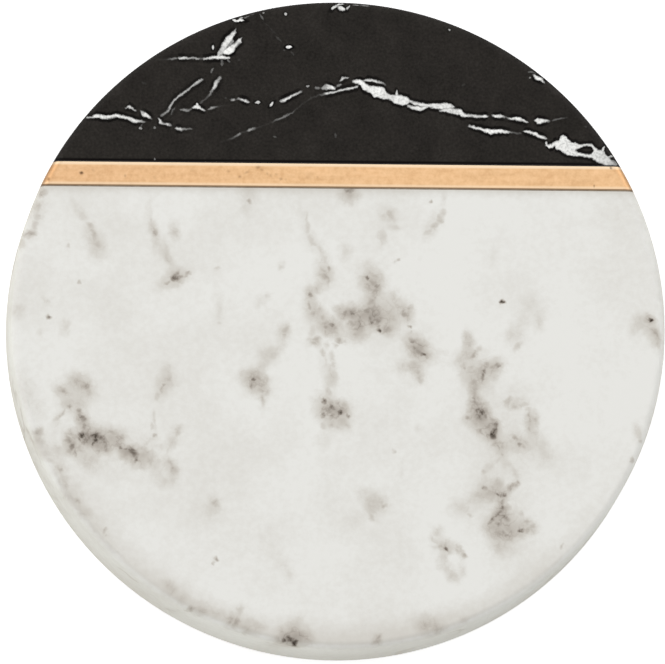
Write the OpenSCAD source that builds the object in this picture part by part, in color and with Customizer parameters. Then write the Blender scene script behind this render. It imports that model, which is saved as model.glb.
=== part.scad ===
// Round drink coaster of two stones with a metal strip between them.
// A black stone, a metal strip and a white stone are glued into one slab, and the
// round blank is then cut from it and honed, so one edge profile runs round all three.
// Four stick-on bumper feet carry it. The strip runs along X, the black stone is on
// the +Y side, and the origin is on the table under the middle of the coaster.

/* [Stone blank] */
// Diameter of the coaster
disc_d = 101.6; // [88:0.1:120]
// Thickness of the two stones and the strip
disc_t = 12.7; // [8:0.1:16]
// Radius of the rounded edge round the top face
top_edge_r = 1.2; // [0.5:0.1:3]
// Radius of the eased edge round the underside
base_edge_r = 0.8; // [0.2:0.1:2]

/* [Metal strip] */
// Width of the strip, as it shows on the top face
strip_w = 3.7; // [2:0.1:6]
// Distance from the middle of the coaster to the middle of the strip
strip_offset = 23.3; // [12:0.1:30]

/* [Glue lines] */
// Thickness of the glue between the strip and each stone
glue_t = 0.2; // [0.1:0.05:0.5]

/* [Bumper feet] */
// Diameter of a foot where it is stuck on
foot_d = 9; // [7:0.1:12]
// Diameter of the flat tip that stands on the table
foot_tip_d = 5.2; // [3:0.1:6]
// Height of a foot, without its tape
foot_t = 1.8; // [1:0.1:3]
// Distance from the coaster's side to the nearest edge of a foot
foot_margin = 3.9; // [2:0.1:10]
// Thickness of the double-sided tape that holds a foot
tape_t = 0.2; // [0.1:0.05:0.5]
// How far the tape's edge lies inside the foot's
tape_inset = 0.25; // [0:0.05:1]

/* [Hidden] */
$fn = 180;
// What the cutting boxes reach past the solid that they cut
overrun = 2;

disc_r = disc_d / 2;
// The blank's underside, which stands on the feet and their tape
disc_z = foot_t + tape_t;

// The strip's two faces, and beyond each the face of the stone that is glued to it
strip_south_y = strip_offset - strip_w / 2;
strip_north_y = strip_offset + strip_w / 2;
white_face_y = strip_south_y - glue_t;
black_face_y = strip_north_y + glue_t;

// A foot is a slice of a ball, between its wide end and its tip
foot_r = foot_d / 2;
foot_tip_r = foot_tip_d / 2;
ball_rise = (pow(foot_r, 2) - pow(foot_tip_r, 2) - pow(foot_t, 2)) / (2 * foot_t);
ball_r = sqrt(pow(foot_r, 2) + pow(ball_rise, 2));
foot_ring_r = disc_r - foot_margin - foot_r;
foot_places = ["back_right", "back_left", "front_left", "front_right"];
first_foot_angle = 45;
foot_step_angle = 360 / len(foot_places);

// Half of the blank's section: a rounded upper corner, and a smaller one below
module blank_section() {
    square([disc_r - top_edge_r, disc_t]);
    translate([0, base_edge_r])
        square([disc_r, disc_t - top_edge_r - base_edge_r]);
    square([disc_r - base_edge_r, disc_t - top_edge_r]);
    translate([disc_r - top_edge_r, disc_t - top_edge_r])
        circle(r = top_edge_r);
    translate([disc_r - base_edge_r, base_edge_r])
        circle(r = base_edge_r);
}

// The round blank, as it would be if it were cut from one piece
module blank() {
    translate([0, 0, disc_z])
        rotate_extrude()
            blank_section();
}

// The part of the blank between two lines across it
module blank_between(from_y, to_y) {
    reach = disc_r + overrun;
    intersection() {
        blank();
        translate([-reach, from_y, disc_z - overrun])
            cube([2 * reach, to_y - from_y, disc_t + 2 * overrun]);
    }
}

module white_marble() {
    color("#e3e4df") blank_between(-disc_r - overrun, white_face_y);
}

module black_marble() {
    color("#2b2927") blank_between(black_face_y, disc_r + overrun);
}

module brass_strip() {
    color("#edc093") blank_between(strip_south_y, strip_north_y);
}

module white_glue_line() {
    color("#81735f") blank_between(white_face_y, strip_south_y);
}

module black_glue_line() {
    color("#120f0d") blank_between(strip_north_y, black_face_y);
}

// Moves its children to the place of one foot, counted round from the back right
module at_foot(i) {
    rotate([0, 0, first_foot_angle + i * foot_step_angle])
        translate([foot_ring_r, 0, 0])
            children();
}

module foot(i) {
    color("#c9c8c1")
        at_foot(i)
            intersection() {
                translate([0, 0, foot_t + ball_rise])
                    sphere(r = ball_r);
                cylinder(r = ball_r + overrun, h = foot_t);
            }
}

module foot_tape(i) {
    color("#e8e6dc")
        at_foot(i)
            translate([0, 0, foot_t])
                cylinder(r = foot_r - tape_inset, h = tape_t);
}

white_marble();
black_marble();
brass_strip();
white_glue_line();
black_glue_line();
for (i = [0 : len(foot_places) - 1]) {
    foot(i);
    foot_tape(i);
}
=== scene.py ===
"""A round drink coaster of white and black marble with a brass strip between them."""
import math

import bpy
from mathutils import Matrix, Vector


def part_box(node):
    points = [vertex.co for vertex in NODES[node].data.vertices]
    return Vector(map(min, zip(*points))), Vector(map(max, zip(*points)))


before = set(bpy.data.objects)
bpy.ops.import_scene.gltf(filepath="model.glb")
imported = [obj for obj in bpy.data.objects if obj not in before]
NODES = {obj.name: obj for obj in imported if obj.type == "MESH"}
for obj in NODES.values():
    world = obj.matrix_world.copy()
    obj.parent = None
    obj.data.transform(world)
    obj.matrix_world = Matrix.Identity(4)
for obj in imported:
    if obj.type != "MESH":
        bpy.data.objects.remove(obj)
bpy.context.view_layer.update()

MM = 0.001
WHITE_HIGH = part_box("white_marble")[1]
BLACK_LOW, BLACK_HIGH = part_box("black_marble")
STRIP_LOW, STRIP_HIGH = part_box("brass_strip")
TOP_Z = WHITE_HIGH.z
DISC_R = BLACK_HIGH.y
# The coaster's size as it was traced; the veins and marks below grow and shrink with it
TRACED_R = 50.8
TRACED_MM = DISC_R / TRACED_R
TOP_MM = TOP_Z / TRACED_MM
WHITE_EDGE_MM = WHITE_HIGH.y / TRACED_MM
BLACK_EDGE_MM = BLACK_LOW.y / TRACED_MM
STRIP_EDGES_MM = (STRIP_LOW.y / TRACED_MM, STRIP_HIGH.y / TRACED_MM)

# The photograph's view: its frame, its scale and where the middle of the top face lies in it
FRAME_PX = (665, 664)
PX_PER_MM = 6.467
TOP_MIDDLE_PX = (338.0, 323.5)
# The camera leans from straight overhead by this much, towards this side of the coaster
LEAN = math.radians(10.8)
LEAN_TOWARDS = math.radians(245)
ROLL = math.radians(0.12)
LENS_MM = 1000
SENSOR_MM = 36
CAMERA_CLIP_M = (0.1, 10)

# The light: soft lamps mostly behind and to the left, and a world that gives the rest
LAMPS = {"back_right": (135, 1.5), "back_left": (225, 1.5), "front_left": (315, 1.0)}
LAMP_W = 6.76
LAMP_SIZE = 1.4
LAMP_DISTANCE = 1.6
LAMP_ELEVATION = 33
WORLD_LIGHT = 0.5
FLOOR_GLOW = 0.55
FLOOR_COLOUR = (0.9, 0.9, 0.9, 1)
FLOOR_REACH_M = 1.5
# How bright a white surface renders that faces up, and a white mirror
LEVEL = 1.0
METAL_LEVEL = 1.3
# What the black stone mirrors of the light on top of its own colour
BLACK_SHEEN = 0.006
# How deep a bump is, where its material says nothing else
BUMP_DEPTH_MM = 0.02


def linear(level):
    """An 8-bit colour level of a picture as an amount of light."""
    share = level / 255
    return share / 12.92 if share <= 0.04045 else ((share + 0.055) / 1.055) ** 2.4


def tone(red, green, blue, lit=LEVEL, sheen=0.0):
    """The surface colour that renders as this 8-bit colour where it faces up."""
    light = (linear(level) for level in (red, green, blue))
    return tuple(max(0.0, amount - sheen) / lit for amount in light) + (1.0,)


class Net:
    """Short calls that build the nodes of one material."""

    def __init__(self, name):
        self.material = bpy.data.materials.new(name)
        self.material.use_nodes = True
        self.tree = self.material.node_tree
        self.shader = self.tree.nodes["Principled BSDF"]

    def add(self, kind, **settings):
        node = self.tree.nodes.new(kind)
        for key, value in settings.items():
            setattr(node, key, value)
        return node

    def feed(self, socket, value):
        if isinstance(value, bpy.types.NodeSocket):
            self.tree.links.new(value, socket)
        else:
            socket.default_value = value

    def give(self, name, value):
        """Feeds this input of the shader."""
        self.feed(self.shader.inputs[name], value)

    def math(self, operation, *values, clamp=False):
        node = self.add("ShaderNodeMath", operation=operation, use_clamp=clamp)
        for socket, value in zip(node.inputs, values):
            self.feed(socket, value)
        return node.outputs[0]

    def vector(self, operation, *values):
        node = self.add("ShaderNodeVectorMath", operation=operation)
        for socket, value in zip(node.inputs, values):
            self.feed(socket, value)
        number = operation in ("DOT_PRODUCT", "LENGTH", "DISTANCE")
        return node.outputs["Value" if number else "Vector"]

    def split(self, vector):
        node = self.add("ShaderNodeSeparateXYZ")
        self.feed(node.inputs[0], vector)
        return node.outputs

    def join(self, x, y, z):
        node = self.add("ShaderNodeCombineXYZ")
        for socket, value in zip(node.inputs, (x, y, z)):
            self.feed(socket, value)
        return node.outputs[0]

    def noise(self, place, grain_mm, detail=2.0, roughness=0.5, stretch=(1, 1, 1)):
        """Noise with grains of about this size. Returns its value and its colour."""
        scaled = self.vector("MULTIPLY", place, tuple(s / grain_mm for s in stretch))
        node = self.add("ShaderNodeTexNoise")
        self.feed(node.inputs["Vector"], scaled)
        node.inputs["Scale"].default_value = 1
        node.inputs["Detail"].default_value = detail
        node.inputs["Roughness"].default_value = roughness
        return node.outputs["Fac"], node.outputs["Color"]

    def span(self, value, low, high, to_low=0.0, to_high=1.0):
        """A smooth step of a value from low to high."""
        node = self.add("ShaderNodeMapRange", interpolation_type="SMOOTHSTEP")
        for socket, number in zip(node.inputs, (value, low, high, to_low, to_high)):
            self.feed(socket, number)
        return node.outputs[0]

    def mix(self, share, first, second):
        node = self.add("ShaderNodeMix", data_type="RGBA")
        self.feed(node.inputs[0], share)
        self.feed(node.inputs[6], first)
        self.feed(node.inputs[7], second)
        return node.outputs[2]

    def ramp(self, value, stops):
        """A colour ramp from (place, colour) stops."""
        node = self.add("ShaderNodeValToRGB")
        self.feed(node.inputs[0], value)
        elements = node.color_ramp.elements
        while len(elements) < len(stops):
            elements.new(0.5)
        for element, (place, colour) in zip(elements, stops):
            element.position = place
            element.color = colour
        return node.outputs[0]

    def curves(self, vector, channels, handle):
        """Puts each part of a vector through a curve of its own, which runs level past its ends."""
        node = self.add("ShaderNodeRGBCurve")
        node.mapping.extend = "HORIZONTAL"
        for curve, stops in zip(node.mapping.curves, channels):
            curve.points[0].location, curve.points[1].location = stops[0], stops[-1]
            for stop in stops[1:-1]:
                curve.points.new(*stop)
            for point in curve.points:
                point.handle_type = handle
        node.mapping.update()
        self.feed(node.inputs["Color"], vector)
        return node.outputs[0]

    def greatest(self, vector):
        x, y, z = self.split(vector)
        return self.math("MAXIMUM", self.math("MAXIMUM", x, y), z)

    def all_three(self, value):
        return self.join(value, value, value)

    def place(self):
        """The point on the coaster, in millimetres of its traced size."""
        node = self.add("ShaderNodeTexCoord")
        scale = 1 / TRACED_MM
        return self.vector("MULTIPLY", node.outputs["Object"], (scale, scale, scale))

    def bump(self, height, strength, depth_mm=BUMP_DEPTH_MM):
        node = self.add("ShaderNodeBump")
        node.inputs["Strength"].default_value = strength
        node.inputs["Distance"].default_value = depth_mm * MM
        self.feed(node.inputs["Height"], height)
        self.give("Normal", node.outputs[0])


# Places are millimetres in the frame of the coaster, traced from the photograph

# A vein is a row of (x, y, width, brightness) along its middle
BLACK_VEINS = (
    # the vein that comes in at the left rim, and the crumbs at its end
    ((-38.95, 32.25, .35, .75), (-38.1, 32.25, .3, .8), (-37.6, 32.39, .6, .95),
     (-36.4, 32.22, .6, .95), (-35.3, 32.22, .55, .95), (-34.2, 32.42, .6, .95),
     (-33.1, 32.2, .45, .9), (-32.1, 31.94, .5, .9), (-31.6, 31.62, .65, .95),
     (-30.6, 31.53, .4, .8), (-29.9, 31.45, .25, .5)),
    ((-32.85, 33.65, .25, .7), (-32.4, 33.88, .45, .9), (-32, 33.7, .4, .85),
     (-31.4, 33.3, .3, .75)),
    ((-30.4, 33.1, .4, .7), (-30.15, 32.8, .75, .85), (-29.8, 32.5, .8, .95),
     (-29.35, 32.3, .5, .9), (-28.95, 32.05, .15, .8)),
    ((-27.85, 32.0, .3, .7), (-27.6, 31.6, .6, .85), (-27.2, 31.32, .35, .75),
     (-26.7, 31.17, .35, .8), (-26.3, 31.1, .42, .85), (-25.9, 31.05, .25, .7)),
    ((-25.05, 30.55, .4, .85), (-24.6, 30.45, .42, .88), (-24.2, 30.38, .38, .8),
     (-23.9, 30.47, .3, .6), (-23.3, 30.47, .28, .5), (-22.7, 30.47, .28, .45)),
    # the long streak up to the right of them, and the dashes by it
    ((-27.42, 32.42, .3, .5), (-26.86, 32.83, .35, .6), (-26.3, 33.33, .35, .65),
     (-25.94, 34.08, .38, .72), (-25.47, 34.78, .35, .75), (-24.78, 35.42, .35, .78),
     (-24.0, 36.0, .38, .8), (-23.5, 36.44, .35, .75), (-22.4, 37.28, .35, .8),
     (-21.4, 38.03, .35, .78), (-20.95, 38.3, .3, .7)),
    ((-25.9, 32.75, .3, .35), (-25.6, 33.3, .35, .42), (-25.3, 33.7, .3, .35)),
    ((-24.35, 33.5, .35, .5), (-23.8, 33.5, .42, .6), (-23.2, 33.42, .38, .55),
     (-22.75, 33.65, .3, .4)),
    ((-22.45, 33.8, .3, .85), (-22.1, 33.95, .55, .92), (-21.7, 33.95, .6, .95),
     (-21.2, 33.7, .45, .92), (-20.6, 33.4, .35, .9)),
    ((-19.95, 33.6, .3, .55), (-19.6, 33.75, .42, .65), (-18.95, 33.82, .3, .5),
     (-18.4, 34, .25, .2), (-17.6, 34.2, .25, .12)),
    # the thick forked vein at the upper left, its level arm and the streak below it
    ((-27.8, 41.3, .25, .12), (-26.6, 41.4, .3, .2), (-25.7, 41.5, .32, .5),
     (-25.1, 41.53, .32, .55), (-24.85, 41.55, .2, .35), (-24.6, 41.6, .4, .85),
     (-23.9, 41.62, .45, .92), (-23.3, 41.6, .35, .72), (-22.4, 41.6, .32, .7),
     (-21.6, 41.55, .3, .68), (-21.3, 41.55, .25, .4), (-21.0, 41.55, .25, .4),
     (-20.8, 41.55, .3, .85), (-20, 41.6, .4, .9), (-19, 41.75, .45, .95),
     (-18, 41.8, .6, .95), (-17.3, 41.7, .5, .95), (-16.75, 41.68, .35, .9)),
    ((-18.45, 42.0, .5, .85), (-18.05, 42.6, .8, .78), (-17.65, 43.3, .85, .85),
     (-17.3, 44.0, .95, .92), (-16.75, 44.8, 1.0, .96), (-16.3, 45.4, .75, .92),
     (-15.95, 45.9, .45, .85), (-15.75, 46.2, .15, .75)),
    ((-17.0, 43.4, .4, .5), (-16.7, 44.0, .8, .6), (-16.3, 44.4, .5, .6)),
    ((-17.6, 42.45, .7, .95), (-17, 42.75, 1.1, 1.0), (-16.5, 43.1, 1.1, 1.0),
     (-16.1, 43.6, .7, .9), (-15.6, 44.0, .6, .88), (-15.15, 44.4, .6, .92),
     (-14.9, 44.8, .2, .7)),
    ((-18.15, 38.6, .4, .6), (-18.5, 38.1, .6, .62), (-18.9, 37.55, .6, .85),
     (-19.2, 36.9, .5, .85), (-19.45, 36.5, .35, .6), (-19.7, 36.15, .4, .5),
     (-20.3, 35.4, .28, .3), (-21.2, 34.6, .28, .35)),
    # the dashed vein that rises to the middle
    ((-16.5, 35.1, .3, .55), (-16.1, 35.15, .4, .68), (-15.85, 35.2, .2, .3),
     (-15.15, 35.3, .3, .7), (-14.8, 35.15, .42, .92), (-14.3, 34.95, .42, .92),
     (-13.8, 34.72, .3, .8)),
    ((-8.9, 35.0, .3, .7), (-8.35, 35.15, .42, .9), (-7.9, 35.38, .48, .98),
     (-7.3, 35.7, .42, .92), (-6.8, 35.98, .4, .88), (-6.2, 36.3, .34, .8),
     (-5.6, 36.5, .3, .75)),
    ((-3.4, 37.15, .3, .5), (-2.9, 37.08, .35, .55), (-2.6, 37.1, .2, .3),
     (-2.3, 37.1, .4, .6), (-1.9, 37.3, .9, .6), (-1.4, 37.3, .7, .85),
     (-.9, 37.2, .6, 1.0), (-.5, 37.1, .35, .9), (-.3, 37.3, .2, .3),
     (0, 37.5, .32, .6), (.6, 37.64, .3, .6)),
    ((.45, 38.3, .35, .7), (.75, 38.55, .5, .85), (1.1, 38.7, .35, .8),
     (1.7, 38.72, .32, .7)),
    # the thin vein under it
    ((-18.2, 28.4, .25, .1), (-17, 28.8, .25, .14), (-16.1, 29.2, .3, .35),
     (-15.2, 29.75, .35, .6), (-14.9, 29.9, .28, .2), (-14.2, 30.15, .3, .22),
     (-13.7, 30.35, .36, .65), (-13.3, 30.5, .36, .6), (-12.6, 30.75, .28, .2),
     (-11.3, 31.15, .26, .13), (-10.2, 31.6, .28, .15), (-9.2, 32.1, .34, .48),
     (-8, 32.65, .34, .48), (-7.2, 33.05, .3, .4), (-6.4, 33.7, .26, .2)),
    ((-6.4, 33.7, .26, .2), (-5.2, 34.8, .26, .18), (-4, 35.5, .28, .22),
     (-2.9, 35.9, .28, .25), (-2.1, 36.15, .3, .5), (-1.7, 36.25, .4, .9),
     (-.8, 36.45, .36, .85), (.2, 36.65, .38, .88), (1.1, 36.88, .4, .88),
     (2.1, 37.12, .38, .88), (3.1, 37.4, .35, .85)),
    # the thick vein to the right of the middle, with its side branches
    ((2.45, 38.2, .35, .85), (2.8, 38.2, .6, .92), (3.3, 38.1, .75, .97),
     (3.8, 37.85, .85, .97), (4.2, 37.4, 1.15, .95), (4.6, 37.2, 1.05, .92),
     (5.0, 36.95, 1.0, .92), (5.5, 36.85, 1.4, .94), (6.0, 36.6, 1.7, .95),
     (6.6, 36.5, 1.65, .97), (7.1, 36.25, 1.6, .9), (7.45, 35.95, 1.1, .88),
     (8.0, 35.85, .85, .85), (8.4, 35.7, 1.0, .88), (9.0, 35.5, 1.45, .93),
     (9.6, 35.38, 1.5, .93), (10.4, 35.2, 1.5, .94), (10.8, 35.15, 1.15, .92),
     (11.1, 35.05, .6, .85)),
    ((4.1, 38.3, .35, .8), (4.5, 38.45, .45, .9), (5.3, 38.38, .5, .92),
     (6, 38.25, .45, .88), (6.5, 38.1, .35, .8), (7, 38.0, .32, .7),
     (7.45, 37.6, .25, .35)),
    ((10.9, 35.4, .4, .85), (11.5, 35.1, .4, .85), (12.1, 34.82, .5, .88),
     (13.06, 34.62, .6, .92), (14.2, 34.55, .6, .9), (15.3, 34.42, .85, .92),
     (16.3, 34.45, .95, .92), (17.2, 34.45, .9, .9), (17.9, 34.35, .55, .85),
     (18.25, 34.3, .2, .6)),
    ((10.9, 34.45, .3, .85), (11.5, 34.25, .5, .92), (12.2, 34.1, .65, .88),
     (12.8, 33.97, .75, .95), (13.4, 34.05, .65, .92), (14, 34.3, .5, .85)),
    ((16, 33.75, .3, .8), (16.6, 33.85, .6, .85), (17.4, 33.75, .8, .88),
     (18.3, 33.6, .8, .88), (18.9, 33.45, .95, .92), (19.25, 33.3, 1.15, .95),
     (19.6, 33.1, .7, .9), (20.1, 33, .42, .9), (20.8, 32.97, .4, .9),
     (21.6, 32.85, .38, .88), (22.4, 32.85, .4, .9), (22.9, 32.92, .5, .98),
     (23.25, 32.97, .3, .85)),
    ((24.1, 32.95, .25, .8), (24.6, 32.92, .45, .92), (25.2, 32.95, .5, .95),
     (25.8, 32.85, .38, .85), (26.2, 32.75, .2, .4), (26.5, 32.6, .25, .6),
     (26.9, 32.58, .4, .92), (27.6, 32.6, .5, .95), (28.2, 32.47, .6, .95),
     (28.9, 32.25, .45, .92), (29.5, 32, .28, .85)),
    ((30.75, 32.35, .3, .85), (31.1, 32.25, .85, .92), (31.5, 32.2, .75, .95),
     (32, 32.25, .55, .95), (32.5, 32.25, .38, .88), (32.9, 32.2, .25, .6)),
    ((33.5, 32.35, .25, .4), (34.2, 32.5, .25, .5), (34.9, 32.7, .22, .4),
     (35.7, 32.83, .2, .2)),
    # the lower vein, which swells into the patch at the right end of the strip
    ((20.55, 31.35, .3, .8), (21.1, 31.22, .42, .92), (21.94, 30.97, .45, .92),
     (22.7, 30.75, .5, .95), (23.3, 30.6, .65, .98), (23.9, 30.42, .85, 1.0),
     (24.5, 30.52, .7, .95), (25.2, 30.62, .6, .95), (26.1, 30.52, .5, .92),
     (26.6, 30.45, .4, .85), (27, 30.4, .28, .5), (27.7, 30.3, .28, .38),
     (28.4, 30.22, .26, .35)),
    ((29.0, 30.65, .3, .9), (29.4, 30.55, .45, .95), (30.1, 30.35, .42, .92),
     (30.9, 30.06, .5, .95), (31.6, 29.75, .5, .95), (32.35, 29.5, .35, .85)),
    ((32.55, 28.4, .4, .92), (32.9, 28.2, .55, .95), (33.3, 28.3, .5, .95),
     (33.7, 28.6, .6, .95), (34.2, 28.8, 1.0, .95)),
    ((34.0, 28.8, .9, .92), (34.3, 28.55, 1.7, .92), (34.6, 28.75, 2.15, .93),
     (34.9, 28.85, 2.45, .93), (35.2, 28.65, 2.5, .93), (35.6, 28.3, 2.3, .92),
     (36, 27.95, 2.05, .92), (36.5, 27.85, 2.1, .92), (36.9, 27.8, 2.1, .93)),
    ((36.8, 28.3, 1.3, .93), (37.2, 28.25, .95, .92), (37.6, 28.3, .7, .9),
     (38.2, 28.48, .42, .9), (38.8, 28.6, .4, .93), (39.3, 28.55, .42, .92),
     (39.8, 28.1, .6, .9), (40.2, 27.6, .8, .88)),
    ((36.8, 27.2, 1.0, .93), (37.3, 27.05, .75, .93), (38.0, 26.95, .52, .93),
     (38.8, 26.87, .5, .92), (39.4, 26.8, .65, .9), (39.9, 26.6, .8, .88),
     (40.4, 26.35, .9, .85)),
    ((39.6, 27.0, .7, .88), (39.85, 27.1, 1.5, .88), (40.3, 26.9, 1.75, .88),
     (40.7, 26.75, 1.9, .87), (41.1, 26.6, 2.1, .85), (41.35, 26.3, 1.7, .84),
     (41.7, 26.1, 1.45, .84), (42.1, 25.95, 1.3, .82), (42.6, 25.7, .8, .75),
     (43.3, 25.6, .5, .6)),
    # the marks at the right rim
    ((30.6, 39.45, .35, .9), (30.95, 39.2, .6, .95), (31.3, 39.02, .75, 1),
     (31.75, 38.8, .5, .95), (32.2, 38.35, .28, .8)),
    ((29.7, 40, .25, .4), (30.2, 40, .3, .5), (30.7, 39.9, .22, .35)),
)

# A mark runs from one point to another: (x, y, to x, to y, width, brightness). A dot has one
# point: (x, y, width, brightness)
BLACK_MARKS = (
    (-30.6, 30.5, .5, .62), (-30.3, 31, -30.5, 30.7, .3, .3), (-28.4, 30.67, .4, .45),
    (-28.44, 25.6, -28.44, 25.7, .35, .42), (-30.3, 37.7, -29.7, 37.4, .35, .15),
    (-19.33, 43.2, -19.33, 43.5, .42, .85), (-19.3, 40, -19.6, 39.4, .4, .4),
    (-17.95, 41.3, -17.9, 40.6, .45, .36), (-17, 41.3, -16.8, 41.2, .4, .4), (-15.3, 41.4, .5, .15),
    (-17.4, 35.4, .4, .2), (-21.8, 34.1, -21.75, 34.45, .35, .85),
    (-9.9, 29.4, -9.6, 29.3, .35, .28), (-.3, 29.9, -.3, 29.4, .4, .25), (-11.4, 48.9, .4, .5),
    (-12, 48.6, -11.5, 47.8, .35, .35), (-8, 48.75, .45, .75), (-7.7, 43.5, -7.3, 43.5, .5, 1),
    (-8.3, 43, .4, .22), (-7, 42.8, -6.8, 42.4, .35, .2), (-11.5, 47.8, -9.4, 45.1, .25, .13),
    (-9.4, 45.1, -8.8, 44.4, .35, .2), (17.44, 46.44, .42, .62), (19.4, 37.6, 19.8, 37.9, .4, .15),
    (38.6, 31.4, .4, .2), (-4.75, 37.36, -4.5, 37.36, .35, .6),
    (-12.6, 34.72, -12.2, 34.72, .42, .8), (-10.4, 34.3, -10, 34.65, .42, .9),
    (29.97, 39.14, .35, .5), (9.15, 36.1, 9.2, 36.7, .4, .85), (32.45, 28.95, 32.6, 28.45, .3, .8),
    (34.7, 29.3, 34.95, 29.9, .5, .9), (41.15, 27.5, 41.5, 28.35, .4, .85),
    (42.1, 26.5, 42.6, 26.9, .35, .75), (42.5, 26.2, 43.2, 25.8, .4, .55),
    # at the rim
    (-16.2, 47.85, -15.6, 47.6, .5, .9), (-15.6, 47.65, -14.6, 47.6, .5, .95),
    (-15.2, 48, -14.8, 48.1, .4, .7), (-14.4, 48.1, -13.8, 48.5, .3, .4),
    (-13.5, 48.6, -13, 48.8, .3, .25), (-.7, 49.6, -.2, 50.2, .5, .85),
    (-.1, 50.3, .9, 50.5, .35, .8), (.5, 49.8, 1, 49.6, .7, .9), (1.6, 49.7, 1.9, 50.1, .35, .75),
    (0, 50, .4, 49.9, .4, .6), (2.5, 50.3, 3.3, 50.4, .3, .5), (3.6, 50.35, 5, 50.25, .3, .45),
)

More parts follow.
